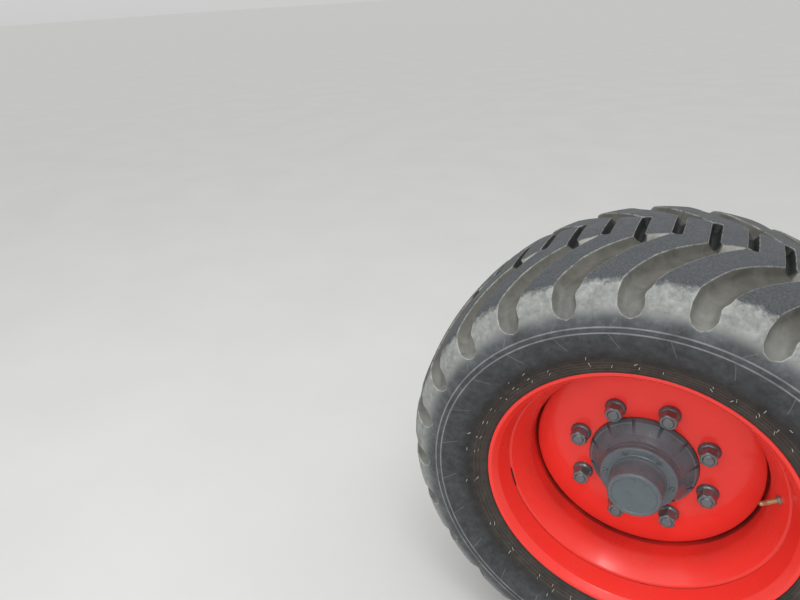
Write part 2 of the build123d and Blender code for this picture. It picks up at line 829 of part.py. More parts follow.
# Brake chamber: two pressed shells in a clamp band, bored for the push rod
chamber_plane = Plane(origin=(chamber_face_x, lever_y, rod_z), x_dir=(-1, 0, 0), z_dir=(0, -1, 0))
with BuildPart() as brake_chamber:
    with BuildSketch(chamber_plane):
        with BuildLine():
            rod_bore = rod_radius + rod_guide_clearance
            band_start = chamber_band_place - chamber_band_width / 2
            band_end = chamber_band_place + chamber_band_width / 2
            Polyline(
                (0, rod_bore),
                (0, chamber_neck_radius),
                (band_start / 2, chamber_radius - chamber_shoulder),
                (band_start, chamber_radius),
                (band_start, chamber_band_radius),
                (band_end, chamber_band_radius),
                (band_end, chamber_radius),
                (chamber_depth - chamber_end, chamber_radius - chamber_draft),
                (chamber_depth, chamber_neck_radius),
                (chamber_depth, port_radius),
                (chamber_depth - port_depth, port_radius),
                (chamber_depth - port_depth, 0),
                (rod_tail + moving_gap, 0),
                (rod_tail + moving_gap, rod_bore),
                close=True,
            )
        make_face()
    revolve(axis=Axis((chamber_face_x, lever_y, rod_z), (1, 0, 0)))
brake_chamber.part.label = "brake_chamber"
export_step(brake_chamber.part, "parts/brake_chamber.step")
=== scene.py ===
from functools import partial
from math import cos, pi, radians, sin, tan
import bmesh
import bpy
import numpy as np
from mathutils import Matrix, Vector


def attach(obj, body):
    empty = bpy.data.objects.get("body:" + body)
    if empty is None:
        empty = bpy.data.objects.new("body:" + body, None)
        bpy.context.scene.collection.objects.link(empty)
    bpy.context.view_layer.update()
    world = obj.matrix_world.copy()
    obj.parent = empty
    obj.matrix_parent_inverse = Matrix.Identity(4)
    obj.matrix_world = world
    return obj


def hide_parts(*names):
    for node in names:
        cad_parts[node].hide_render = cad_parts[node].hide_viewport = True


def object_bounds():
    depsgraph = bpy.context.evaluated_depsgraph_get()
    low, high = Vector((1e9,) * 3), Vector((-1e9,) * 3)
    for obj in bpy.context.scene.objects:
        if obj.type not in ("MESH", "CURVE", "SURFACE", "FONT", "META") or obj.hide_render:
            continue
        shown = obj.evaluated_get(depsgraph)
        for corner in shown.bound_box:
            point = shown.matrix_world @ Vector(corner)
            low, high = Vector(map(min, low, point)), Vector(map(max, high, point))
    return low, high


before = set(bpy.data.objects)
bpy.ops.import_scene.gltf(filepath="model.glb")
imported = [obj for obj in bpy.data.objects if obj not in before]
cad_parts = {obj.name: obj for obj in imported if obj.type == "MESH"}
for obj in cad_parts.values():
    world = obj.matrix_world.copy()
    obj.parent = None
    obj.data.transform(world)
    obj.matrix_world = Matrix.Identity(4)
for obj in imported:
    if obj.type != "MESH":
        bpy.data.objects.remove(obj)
cad_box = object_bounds()
scene = bpy.context.scene
scene.view_settings.view_transform = "Standard"

# --------------------------------------
# Camera, floor and light: the photograph's viewing angle, from outboard and above, with the
# wheel cut by the right and bottom edges. A pale floor under the tyre and a soft sky overhead.


def new_object(name, data, material=None):
    """A new object at the origin of the frame, with its material if it has one."""
    made = bpy.data.objects.new(name, data)
    scene.collection.objects.link(made)
    if material:
        data.materials.append(material)
    return made


camera = new_object("camera", bpy.data.cameras.new("camera"))
camera.data.sensor_width = 36
camera.data.lens = 27.94
camera.matrix_world = (
    Matrix.Translation((0.0693, -1.6983, 0.9224))
    @ Matrix.Rotation(radians(29.19), 4, "Z")
    @ Matrix.Rotation(radians(63.98), 4, "X")
    @ Matrix.Rotation(radians(-3.81), 4, "Z")
)
scene.camera = camera


def linear(code):
    """Linear colour of an sRGB hex value."""
    levels = [int(code[place : place + 2], 16) / 255 for place in (1, 3, 5)]
    return (*[v / 12.92 if v <= 0.04045 else ((v + 0.055) / 1.055) ** 2.4 for v in levels], 1.0)


def feed(target, values):
    """Sets or links those inputs of a node that are in use, by their name or their order.

    A node stands for its first output in use, and a string for a colour.
    """
    in_use = [socket for socket in target.inputs if socket.enabled]
    for place, value in values.items():
        by_name = isinstance(place, str)
        socket = next(s for s in in_use if s.name == place) if by_name else in_use[place]
        if isinstance(value, bpy.types.Node):
            value = next(output for output in value.outputs if output.enabled)
        if isinstance(value, bpy.types.NodeSocket):
            target.id_data.links.new(value, socket)
        else:
            socket.default_value = linear(value) if isinstance(value, str) else value


def node(tree, kind, *values, **settings):
    """Adds a node with its settings; its values are one dict by name, or stand in order.

    A kind in capitals is the operation of a Math node.
    """
    if kind.isupper():
        kind, settings = "Math", {"operation": kind}
    made = tree.nodes.new(kind if "Node" in kind else "ShaderNode" + kind)
    if kind == "Mix":
        made.data_type = "RGBA"
    for name, value in settings.items():
        setattr(made, name, value)
    named = values and isinstance(values[0], dict)
    feed(made, values[0] if named else dict(enumerate(values)))
    return made


def new_mesh(name, shell):
    """Mesh of a bmesh."""
    made = bpy.data.meshes.new(name)
    shell.to_mesh(made)
    return made


def new_material(name):
    """A material, what adds nodes to it, its one shader and its Object coordinates."""
    made = bpy.data.materials.new(name)
    made.use_nodes = True
    tree = made.node_tree
    add = partial(node, tree)
    return made, add, tree.nodes["Principled BSDF"], add("TexCoord").outputs["Object"]


def clouded(add, place, width, detail, low, high, roughness=0.5):
    """Noise clouds of a width in metres, and the tone that wanders with them."""
    clouds = add("TexNoise", place, 1 / width, detail, roughness)
    return clouds, add("Mix", clouds, low, high)


def mottled(name, width, detail, low, high, **values):
    """A material of one cloudy tone; the other values go to its shader."""
    made, add, shader, place = new_material(name)
    feed(shader, {"Base Color": clouded(add, place, width, detail, low, high)[1], **values})
    return made


# Pale smooth concrete: even and matt, so the wheel's own colours stand out
pale_concrete = mottled("pale_concrete", 0.5, 6.0, "#C9C9C7", "#D2D2D0", Roughness=0.9)
floor_shell = bmesh.new()
bmesh.ops.create_grid(floor_shell, x_segments=1, y_segments=1, size=300)
bmesh.ops.translate(floor_shell, verts=floor_shell.verts, vec=(0, 0, cad_box[0].z))
floor = new_object("floor", new_mesh("floor", floor_shell), pale_concrete)

# Sky: white above and greyer towards the horizon, seen pale by the camera and in gloss
world = bpy.data.worlds.new("soft_sky")
scene.world = world
world.use_nodes = True
world.node_tree.nodes.clear()
add = partial(node, world.node_tree)
height = add("SeparateXYZ", add("TexCoord").outputs["Generated"]).outputs["Z"]
fill = add("Background", add("MapRange", height, 0.0, 0.7, 0.86, 1.0), 0.88)
shown = add("Background", add("MapRange", height, 0.0, 0.5, 0.6, 0.95), 1.0)
seen = add("LightPath").outputs
facing = add("MAXIMUM", seen["Is Camera Ray"], seen["Is Glossy Ray"])
facing = add("MAXIMUM", facing, seen["Is Transmission Ray"])
add("OutputWorld", add("MixShader", facing, fill, shown))

wheel_middle = Vector((0, -0.5, 0))
for name, spot, size, watts in (("overhead", (-0.5, -2.0, 3.0), (5.4, 2.4), 44),
                                ("glint", (0.5, -1.9, 2.7), (0.8, 0.45), 15),
                                ("front", (-0.6, -3.6, 1.5), (3.0, 1.6), 21)):
    softbox = bpy.data.lights.new(name, "AREA")
    softbox.shape = "RECTANGLE"
    softbox.size, softbox.size_y = size
    softbox.energy = watts
    lamp = new_object(name, softbox)
    lamp.location = spot
    lamp.rotation_euler = (Vector(spot) - wheel_middle).to_track_quat("Z", "Y").to_euler()

# --------------------------------------
# Axle beam: a 120 mm square steel bar turned to a spindle at its end. The anchor plate and both
# brackets are welded to it by hand, in ripples, and all is painted dark grey at the works.
grey_machine_paint, add, shader, place = new_material("grey_machine_paint")
# A dull brushed-on coat, cloudy over 60 mm and specked with road dirt 2 mm across
specks, tone = clouded(add, place, 0.002, 2.0, "#4A4E52", "#5A5E62")
clouds = add("TexNoise", place, 1 / 0.06, 5.0)
dirt_and_shade = add("MapRange", clouds, 0.5, 0.8, 0.0, 0.6)
tone = add("Mix", dirt_and_shade, tone, "#7B7568")
# Stone chips 4 mm across, rusted brown
stones = add("TexNoise", place, 1 / 0.008, 3.0)
tone = add("Mix", add("MapRange", stones, 0.68, 0.71), tone, "#5E4030")
feed(shader, {
    "Base Color": tone, "Roughness": add("MapRange", clouds, 0.3, 0.7, 0.38, 0.62),
    "Normal": add("Bump", {"Height": specks, "Distance": 0.0003, "Strength": 0.3})})


def coat(material, *names):
    """Gives a material to CAD nodes."""
    for name in names:
        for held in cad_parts[name].material_slots:
            held.material = material


coat(grey_machine_paint, "axle_beam", "anchor_plate", "cam_bracket", "chamber_bracket")


def new_group(name, sockets):
    """A Geometry Nodes group, what adds nodes to it, and the sockets of its named inputs."""
    made = bpy.data.node_groups.new(name, "GeometryNodeTree")
    for label, kind in sockets.items():
        made.interface.new_socket(label, in_out="INPUT", socket_type=f"NodeSocket{kind}")
    made.interface.new_socket("Mesh", in_out="OUTPUT", socket_type="NodeSocketGeometry")
    add = partial(node, made)
    return made, add, add("NodeGroupInput").outputs


def repeat(add, inputs, placing, merged=None):
    """Ends a group: instances on points, made real, joined where they meet and coloured."""
    real = add("GeometryNodeRealizeInstances", add("GeometryNodeInstanceOnPoints", placing))
    if merged is not None:
        real = add("GeometryNodeMergeByDistance", {"Geometry": real, "Distance": merged})
    add("NodeGroupOutput", add("GeometryNodeSetMaterial", {
        "Geometry": real, "Material": inputs["Material"]}))


def applied(holder, name):
    """Plain mesh of an object with its modifiers, which go with the object."""
    bpy.context.view_layer.update()
    evaluated = holder.evaluated_get(bpy.context.evaluated_depsgraph_get())
    made = bpy.data.meshes.new_from_object(evaluated)
    made.name = name
    bpy.data.objects.remove(holder)
    return made


def modified(name, mesh, group, values):
    """A new object with the plain mesh that a Geometry Nodes group makes of a mesh."""
    holder = new_object(name + "_holder", mesh)
    modifier = holder.modifiers.new("repeat", "NODES")
    modifier.node_group = group
    for socket in group.interface.items_tree:
        if socket.name in values:
            modifier[socket.identifier] = values[socket.name]
    return new_object(name, applied(holder, name))


# Lays ripples of weld along a path, each a little larger or smaller than the next
weld_run, add, inputs = new_group("weld_run", {
    "Path": "Geometry", "Ripple": "Object", "Spacing": "Float", "Material": "Material"})
curve = add("GeometryNodeMeshToCurve", inputs["Path"])
steps = add("GeometryNodeResampleCurve", {"Curve": curve, "Length": inputs["Spacing"]},
            mode="LENGTH")
ripple = add("GeometryNodeObjectInfo", inputs["Ripple"]).outputs["Geometry"]
swell = add("FunctionNodeRandomValue", {"Min": (0.85,) * 3, "Max": (1.1,) * 3, "Seed": 4},
            data_type="FLOAT_VECTOR")
repeat(add, inputs, {"Points": steps, "Instance": ripple, "Scale": swell})
ripple_shell = bmesh.new()
bmesh.ops.create_icosphere(ripple_shell, subdivisions=2, radius=0.0044)
ripple_mesh = new_mesh("weld_ripple", ripple_shell)
ripple_mesh.shade_smooth()
weld_ripple = new_object("weld_ripple", ripple_mesh)

# Runs in millimetres: round the beam's end, both sides of the cam bracket and of the chamber
# bracket, and both sides of its two gussets
weld_paths = [
    [(62, -397, 62), (62, -397, -62), (-62, -397, -62), (-62, -397, 62), (62, -397, 62)],
    *[[(61, along, 47), (61, along, -47)] for along in (-214, -196)],
    [(10, -211, 61), (10, -89, 61)], [(24, -187, 61), (24, -113, 61)],
    *[[(24, along, 61), (50, along, 61)] for along in (-201, -189, -111, -99)],
]
path_mesh = bpy.data.meshes.new("weld_paths")
path_points = [Vector(point) / 1000 for path in weld_paths for point in path]
path_edges, first = [], 0
for path in weld_paths:
    path_edges += [(first + step, first + step + 1) for step in range(len(path) - 1)]
    first += len(path)
path_mesh.from_pydata(path_points, path_edges, [])
welds = modified("axle_welds", path_mesh, weld_run, {
    "Ripple": weld_ripple, "Spacing": 0.004, "Material": grey_machine_paint})
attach(welds, "axle")

# --------------------------------------
# Dust shields: two pressed halves of thin galvanised sheet, sprayed grey with the beam and clamped
# over the drum's mouth by six bolts through the anchor plate.
smooth_angle = radians(38)  # edges between faces steeper than this stay sharp


def rounded(corners, steps=5):
    """Profile whose corners (radius, place, fillet) are turned into short arcs."""
    points = []
    for number, (radius, along, *fillet) in enumerate(corners):
        here = Vector((radius, along))
        if not fillet:
            points.append(here)
            continue
        before = Vector(corners[number - 1][:2]) - here
        after = Vector(corners[(number + 1) % len(corners)][:2]) - here
        half = before.angle(after) / 2
        reach = min(fillet[0] / tan(half), before.length * 0.49, after.length * 0.49)
        middle = (before.normalized() + after.normalized()).normalized() * (reach / cos(half))
        start, end = before.normalized() * reach - middle, after.normalized() * reach - middle
        for step in range(steps + 1):
            arm = start.slerp(end, step / steps).normalized() * start.length
            points.append(here + middle + arm)
    return points


def polar(radius, turn, along):
    """Place in metres from millimetres, at an angle round the axle from +X to +Z."""
    return Vector((radius / 1000 * cos(turn), along / 1000, radius / 1000 * sin(turn)))


def bridge(shell, rings, around=True):
    """Faces between rings of points; around says that a ring's last point meets its first."""
    for ring, following in zip(rings, rings[1:]):
        for step in range(len(ring) if around else len(ring) - 1):
            after = (step + 1) % len(ring)
            corners = dict.fromkeys((ring[step], ring[after], following[after], following[step]))
            if len(corners) > 2:
                shell.faces.new(list(corners))


def turned(name, profile, steps, turn_to=Matrix.Identity(4)):
    """Mesh of a profile (radius, place along Y, in mm) turned round Y, then placed by turn_to.

    The profile is closed, or it begins and ends on the axis.
    """
    shell = bmesh.new()
    rings = []
    for radius, along in profile:
        if radius < 1e-6:
            rings.append([shell.verts.new((0, along / 1000, 0))] * steps)
        else:
            rings.append([shell.verts.new(polar(radius, 2 * pi * step / steps, along))
                          for step in range(steps)])
    bridge(shell, rings + rings[:1])
    bmesh.ops.recalc_face_normals(shell, faces=shell.faces)
    bmesh.ops.transform(shell, matrix=turn_to, verts=shell.verts)
    made = new_mesh(name, shell)
    made.shade_smooth()
    made.set_sharp_from_angle(angle=smooth_angle)
    return made


def hex_head(name, flats, height, proud, place):
    """Hexagon on its washer, with a stud's end proud of it; it stands along Y, then is placed."""
    corner, end = flats / 2 / cos(radians(30)), height + proud
    hexagon = [(0, 1.6), (corner, 1.6), (corner, height - 1.2), (corner - 1.7, height), (0, height)]
    washer = [(0, 0), (flats * 0.92, 0), (flats * 0.92, 1.3), (flats * 0.88, 1.7), (0, 1.7)]
    stud = [(0, 1), (flats * 0.3, 1), (flats * 0.3, end - 1), (flats * 0.3 - 1, end), (0, end)]
    shell = bmesh.new()
    for outline, steps in ((hexagon, 6), (washer, 24), (stud, 20))[: 3 if proud else 2]:
        shell.from_mesh(turned(name, outline, steps=steps, turn_to=place))
    return new_mesh(name, shell)


def ring_spots(add, inputs, begin):
    """Angles in even steps round the axle from a first one, and the places at them."""
    step_angle = add("DIVIDE", 2 * pi, inputs["Count"])
    angle = add("MULTIPLY_ADD", add("GeometryNodeInputIndex"), step_angle, begin)
    way = add("CombineXYZ", {"X": add("COSINE", angle), "Z": add("SINE", angle)})
    return angle, add("VectorMath", way, inputs["Radius"], operation="SCALE")


# Repeats a piece round the axle, each one turned about its own middle by chance
axle_ring, add, inputs = new_group("axle_ring", {
    "Piece": "Geometry", "Count": "Int", "Radius": "Float", "First angle": "Float",
    "Own turn": "Float", "Weld distance": "Float", "Material": "Material"})
angle, spot = ring_spots(add, inputs, inputs["First angle"])
least = add("MULTIPLY", inputs["Own turn"], -1.0)
chance = add("FunctionNodeRandomValue", {"Min": least, "Max": inputs["Own turn"], "Seed": 7})
turn = add("SUBTRACT", chance, angle)
points = add("GeometryNodePoints", inputs["Count"], spot)
repeat(add, inputs, {"Points": points, "Instance": inputs["Piece"],
                     "Rotation": add("CombineXYZ", {"Y": turn})}, merged=inputs["Weld distance"])

painted_galvanised_sheet, add, shader, place = new_material("painted_galvanised_sheet")
# Satin grey paint dulled by brake dust, flaked off in spots that bare the zinc's 12 mm crystals
crystals = add("TexVoronoi", {"Vector": place, "Scale": 1 / 0.012})
clouds, paint = clouded(add, place, 0.05, 6.0, "#54585C", "#6B6F73")
flakes = add("TexNoise", place, 1 / 0.022, 8.0, 0.66)
zinc = add("Mix", crystals, "#8E9294", "#A6A9AA")
bare = add("MapRange", flakes, 0.6, 0.625)
soot = add("MapRange", clouds, 0.45, 0.75, 0.0, 0.6)
tone = add("Mix", soot, add("Mix", bare, paint, zinc), "#5F5A52")
feed(shader, {
    "Base Color": tone, "Metallic": add("MULTIPLY", bare, 0.8),
    "Roughness": add("MapRange", soot, 0.0, 0.6, 0.4, 0.75),
    "Normal": add("Bump", {"Height": bare, "Distance": 0.0002, "Strength": 0.4}, invert=True)})
coat(painted_galvanised_sheet, "dust_shield_front", "dust_shield_rear")

# Yellow passivated zinc, patchy over 10 mm and satin
zinc_plate = mottled("zinc_plate", 0.01, 4.0, "#B0AA94", "#A08E62", Metallic=1.0, Roughness=0.36)
on_plate = Matrix.Translation((0, -0.3991, 0))
bolts = modified("shield_bolts", hex_head("shield_bolt", 13, 8, 0, on_plate), axle_ring, {
    "Count": 6, "Radius": 0.08, "Own turn": radians(30), "Material": zinc_plate})
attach(bolts, "axle")

# --------------------------------------
# Brake linkage: a forged camshaft turned by a cast slack adjuster, which a zinc plated push rod
# works through its fork and clevis pin.
cam_x, lever_y, rod_z = 0.132, -0.15, 0.1493  # lines of the camshaft, of the lever and of the rod
forged_steel, add, shader, place = new_material("forged_steel")
# Oily bare steel with brown rust bloom 20 mm across
bloom = add("TexNoise", place, 1 / 0.02, 8.0)
rust = add("MapRange", bloom, 0.45, 0.62, 0.0, 0.85)
feed(shader, {
    "Base Color": add("Mix", rust, "#6E6C6A", "#6A4A36"),
    "Metallic": add("MapRange", rust, 0.0, 0.85, 0.95, 0.2),
    "Roughness": add("MapRange", rust, 0.0, 0.85, 0.38, 0.8)})


def cast_relief(add, place):
    """Bump of a sand-cast skin, with a 1.5 mm grain."""
    grain = add("TexNoise", place, 1 / 0.0015, 3.0)
    return add("Bump", {"Height": grain, "Distance": 0.0005, "Strength": 0.6})


cast_iron, add, shader, place = new_material("cast_iron")
# Sand-cast skin, brown with surface rust in clouds
clouds, tone = clouded(add, place, 0.04, 7.0, "#4A4440", "#7A543C")
feed(shader, {"Base Color": tone, "Roughness": 0.85, "Normal": cast_relief(add, place)})

# Grey paint on a sand-cast lever, with rust bleeding through it in patches 15 mm across
lever_paint, add, shader, place = new_material("lever_paint")
bleed = add("TexNoise", place, 1 / 0.015, 7.0)
rust = add("MapRange", bleed, 0.52, 0.64, 0.0, 0.9)
feed(shader, {
    "Base Color": add("Mix", rust, "#5D5F60", "#6E4A36"),
    "Roughness": add("MapRange", rust, 0.0, 0.9, 0.45, 0.85),
    "Normal": cast_relief(add, place)})

coat(forged_steel, "camshaft")
coat(lever_paint, "slack_adjuster")
coat(zinc_plate, "clevis_pin", "push_rod", "fork")


def pointing(spot, way):
    """Matrix that takes a piece standing along Y to a spot, along another way."""
    lean = Vector((0, 1, 0)).rotation_difference(way)
    return Matrix.Translation(spot) @ lean.to_matrix().to_4x4()


# The slack adjuster is kept on its splines by a washer and a ring, and set by its worm's hexagon
washer = new_object("cam_washer", turned("cam_washer", rounded([
    (18.3, -127.9), (27, -127.9, 0.4), (27, -124.9, 0.4), (20.5, -124.9), (20.5, -122.9, 0.3),
    (18.3, -122.9)]), steps=64, turn_to=Matrix.Translation((cam_x, 0, 0))), zinc_plate)
worm_end = pointing((0.1728, lever_y, -0.0245), Vector((0.9903, 0, 0.1392)))
worm_hex = new_object("worm_hexagon", hex_head("worm_hexagon", 14, 12, 0, worm_end), zinc_plate)
for piece in (washer, worm_hex):
    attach(piece, "cam")
# Grease nipples on the camshaft's two bushes
nipple_profile = rounded([
    (0, -1), (4.5, -1), (4.5, 4.5, 0.6), (2.6, 5), (2.6, 9), (3.4, 10.4, 0.5), (2.2, 13, 0.6),
    (0, 13)])
nipple_shell = bmesh.new()
for along in (-0.382, -0.205):
    on_bush = pointing((cam_x, along, 0.028), Vector((0, 0, 1)))
    nipple_shell.from_mesh(turned("grease_nipple", nipple_profile, steps=24, turn_to=on_bush))
nipples = new_object("grease_nipples", new_mesh("grease_nipples", nipple_shell), zinc_plate)
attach(nipples, "axle")

# --------------------------------------
# Brake chamber: two pressed steel shells in a clamp band, dipped in black enamel, bolted to the
# chamber bracket by the two studs of its mounting face.
black_enamel, add, shader, place = new_material("black_enamel")
# Semi-gloss black, greyed by a dust film in clouds 40 mm across
film = add("TexNoise", place, 1 / 0.04, 6.0)
dust_and_painted_light = add("MapRange", film, 0.45, 0.8, 0.0, 0.5)
feed(shader, {
    "Base Color": add("Mix", dust_and_painted_light, "#1E2022", "#6C675C"),
    "Roughness": add("MapRange", dust_and_painted_light, 0.0, 0.5, 0.28, 0.7)})
coat(black_enamel, "brake_chamber")
bracket_back, port_end, band_x = 0.022, -0.106, -0.038
bolt_z, lug_z = rod_z + 0.095, rod_z + 0.094
fittings = bmesh.new()
for side in (-0.033, 0.033):
    on_bracket = pointing((bracket_back, lever_y + side, rod_z), Vector((1, 0, 0)))
    fittings.from_mesh(hex_head("mount_nut", 24, 14, 8, on_bracket))
on_port = pointing((port_end, lever_y, rod_z), Vector((-1, 0, 0)))
fittings.from_mesh(hex_head("port_plug", 17, 9, 0, on_port))
# The band's bolt, through its two lugs on top
for side, turn, proud in ((0.0075, 0, 0), (-0.0075, pi, 6)):
    head = Matrix.Translation((band_x, lever_y + side, bolt_z)) @ Matrix.Rotation(turn, 4, "X")
    fittings.from_mesh(hex_head("band_bolt", 13, 8, proud, head))
fittings.from_mesh(turned("band_shank", [(0, -8), (4, -8), (4, 8), (0, 8)], steps=20,
                          turn_to=Matrix.Translation((band_x, lever_y, bolt_z))))
fastened = new_object("chamber_fittings", new_mesh("chamber_fittings", fittings), zinc_plate)
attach(fastened, "axle")
lug_size, lug_shell = Vector((0.016, 0.004, 0.02)), bmesh.new()
for side in (-0.0055, 0.0055):
    for corner in bmesh.ops.create_cube(lug_shell, size=1)["verts"]:
        corner.co = Vector((band_x, lever_y + side, lug_z)) + corner.co * lug_size
bmesh.ops.bevel(lug_shell, geom=lug_shell.edges[:], offset=0.0012, segments=2, affect="EDGES")
lugs = new_object("band_lugs", new_mesh("band_lugs", lug_shell), black_enamel)
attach(lugs, "axle")

# --------------------------------------
# Brake drum: cast iron, turned inside and ribbed outside, held on the hub's flange by the
# wheel studs. It is browned by surface rust.
coat(cast_iron, "brake_drum")

# --------------------------------------
# Hub: ductile iron, cast and turned, sprayed dark grey with the wheel's nuts and cap. Its
# spigot centres the wheel disc and its coned nose has twelve cast notches.
grey_cast_paint, add, shader, place = new_material("grey_cast_paint")
# Grey two-pack paint on castings: satin, over a 2 mm cast grain, chalky where dust has settled
grain = add("TexNoise", place, 1 / 0.002, 3.0)
marks = add("TexNoise", {"Vector": place, "Scale": 1 / 0.006, "Detail": 6.0, "Distortion": 1.5})
clouds, tone = clouded(add, place, 0.025, 8.0, "#4D565B", "#626A6F", roughness=0.65)
chalk = add("MapRange", marks, 0.62, 0.75, 0.0, 0.28)
feed(shader, {
    "Base Color": add("Mix", chalk, tone, "#A3A7A9"),
    "Roughness": add("MapRange", clouds, 0.35, 0.7, 0.24, 0.42),
    "Specular IOR Level": 0.3, "Coat Weight": 0.15, "Coat Roughness": 0.12,
    "Normal": add("Bump", {"Height": grain, "Distance": 0.0003, "Strength": 0.35})})

hub_profile = rounded([
    (46, -607.9), (77.4, -607.9, 1), (78.4, -600, 8), (88, -588, 25), (103.5, -571.2, 2),
    (106, -571.2, 1.2), (110, -564.2, 2), (110, -544.9), (166, -544.9, 2), (166, -526.9, 2),
    (76, -526.9, 6), (76, -448.9, 3), (40.05, -448.9), (40.05, -482.9), (46, -482.9),
    (46, -559.9), (27.55, -565.9), (27.55, -599.9), (46, -599.9),
])
# Twelve notches deepen outwards from nothing, cut with a copied wedge. Its inner and outer end
# each have a distance from the axle, a floor along Y and a width
wedge_top, wedge_ends = -0.62, ((0.0885, -0.5885, 0.005), (0.118, -0.545, 0.008))
notch_shell = bmesh.new()
bmesh.ops.create_cube(notch_shell, size=1)
for corner in notch_shell.verts:
    reach, notch_floor, wide = wedge_ends[corner.co.x > 0]
    corner.co = Vector((reach, notch_floor if corner.co.y > 0 else wedge_top, corner.co.z * wide))
bmesh.ops.recalc_face_normals(notch_shell, faces=notch_shell.faces)
notches = modified("notch_ring", new_mesh("notch", notch_shell), axle_ring, {
    "Count": 12, "First angle": radians(14.5), "Material": grey_cast_paint})
blank = new_object("hub_blank", turned("hub_casting", hub_profile, steps=240), grey_cast_paint)
cut = blank.modifiers.new("notches", "BOOLEAN")
cut.operation, cut.solver, cut.object = "DIFFERENCE", "EXACT", notches
hub_mesh = applied(blank, "hub_body")
bpy.data.objects.remove(notches)
hub_mesh.set_sharp_from_angle(angle=smooth_angle)
hub = new_object("hub_body", hub_mesh)
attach(hub, "wheel")
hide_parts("hub")

# --------------------------------------
# Wheel studs and nuts: M22 studs of steel pressed through the flange, and flanged nuts with
# loose conical collars, all sprayed over with the hub once tight.
stud_thread = [(10.9 if turn % 2 else 10.2, -590.2 + 0.75 * turn) for turn in range(8)]
stud_mesh = turned("stud", rounded([
    (0, -592.4), (9.4, -592.4, 0.8), (10.9, -590.9), *stud_thread, (11, -560), (11, -514.9),
    (15, -514.9, 1), (15, -508.9, 1), (0, -508.9)]), steps=40)
disc_face, nut_steps, half_flats = -558.9, 72, 16.2
# Columns: height over the disc, radius, and 1 where the six flats cut the round
nut_profile = [(0, 11.2, 0), (0, 21.4, 0), (-0.6, 22, 0), (-2.6, 22, 0), (-4.6, 21.5, 0),
               (-6.6, 20.4, 0), (-8.3, 18.9, 0), (-9.3, 17.6, 0), (-9.4, 18.6, 1),
               (-28.4, 18.6, 1), (-29.6, 17.4, 1), (-30.6, 16, 1), (-31.3, 14.6, 0),
               (-31.5, 13.4, 0), (-31.5, 12, 0), (-30.6, 11.2, 0)]
nut_shell = bmesh.new()
nut_rings = []
for along, reach, flat in nut_profile:
    ring = []
    for step in range(nut_steps):
        turn = 2 * pi * step / nut_steps
        away = (turn + pi / 6) % (pi / 3) - pi / 6
        edge = min(reach, half_flats / cos(away)) if flat else reach
        ring.append(nut_shell.verts.new(polar(edge, turn, along + disc_face)))
    nut_rings.append(ring)
bridge(nut_shell, nut_rings + nut_rings[:1])
bmesh.ops.recalc_face_normals(nut_shell, faces=nut_shell.faces)
nut_mesh = new_mesh("nut", nut_shell)
nut_mesh.shade_smooth()
nut_mesh.set_sharp_from_angle(angle=radians(28))

# The same grey over zinc plate, thin and glossy, so the flats flash white under the sky
grey_gloss_paint, add, shader, place = new_material("grey_gloss_paint")
clouds, tone = clouded(add, place, 0.012, 6.0, "#4B5053", "#686E71")
chips = add("TexNoise", place, 1 / 0.003, 3.0)
feed(shader, {
    "Base Color": tone, "Metallic": 0.2, "Coat Weight": 0.8, "Coat Roughness": 0.05,
    "Roughness": add("MapRange", clouds, 0.35, 0.7, 0.1, 0.24),
    "Normal": add("Bump", {"Height": chips, "Distance": 0.0003, "Strength": 0.3})})

for name, mesh, replaced in (("wheel_stud_set", stud_mesh, "wheel_studs"),
                             ("wheel_nut_set", nut_mesh, "wheel_nuts")):
    piece = modified(name, mesh, axle_ring, {
        "Count": 8, "Radius": 0.1375, "First angle": radians(28.7), "Own turn": radians(30),
        "Material": grey_gloss_paint})
    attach(piece, "wheel")
    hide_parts(replaced)

# --------------------------------------
# Bearing cover: a turned ring spigoted on the hub's nose, which closes the bearings off. Six
# small socket screws hold it.
screw_mesh = turned("cover_screw", rounded([
    (0, -621.8), (2.6, -621.8), (2.6, -624.4, 0.3), (5, -624.6, 0.8), (5, -620), (0, -620)]),
    steps=24)
screws = modified("cover_screws", screw_mesh, axle_ring, {
    "Count": 6, "Radius": 0.0668, "First angle": radians(58), "Own turn": radians(30),
    "Material": grey_gloss_paint})
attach(screws, "wheel")
cover = new_object("bearing_cover_ring", turned("bearing_cover", rounded([
    (46, -607.9), (77, -607.9, 1), (77, -621.4, 4), (60.5, -621.4, 1), (59.5, -622.9, 0.6),
    (46, -622.9)]), steps=200), grey_cast_paint)
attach(cover, "wheel")
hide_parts("bearing_cover")

# --------------------------------------
# Hub cap: a deep pressed cup over the spindle's nut, tapped into the bearing cover. Its face
# is blank inside a raised border.
cap = new_object("hub_cap_cup", turned("hub_cap", rounded([
    (0, -671.9), (43, -671.9, 1.5), (45, -674.4, 0.8), (49.5, -674.4, 1.8), (53, -671, 2.5),
    (53.2, -630, 10), (56.5, -622.95, 1), (50, -622.95), (50, -664, 3), (46, -669, 3),
    (0, -669.5)]), steps=180), grey_cast_paint)
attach(cap, "wheel")
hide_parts("hub_cap")

# --------------------------------------
# Wheel disc and rim: a pressed disc welded into a rolled 16.00 by 22.5 drop-centre rim, both
# dipped and sprayed gloss red. The disc is dished towards the rim and rounded at its edge.


def axle_reach(add, place):
    """Distance from the axle."""
    flat_place = add("VectorMath", place, (1, 0, 1), operation="MULTIPLY")
    return add("VectorMath", flat_place, operation="LENGTH")


red_enamel, add, shader, place = new_material("red_enamel")
# Gloss red with a 1.5 mm orange peel, faded a little in clouds
peel = add("TexNoise", place, 1 / 0.003, 2.0)
clouds, tone = clouded(add, place, 0.09, 6.0, "#EE332B", "#F64037")
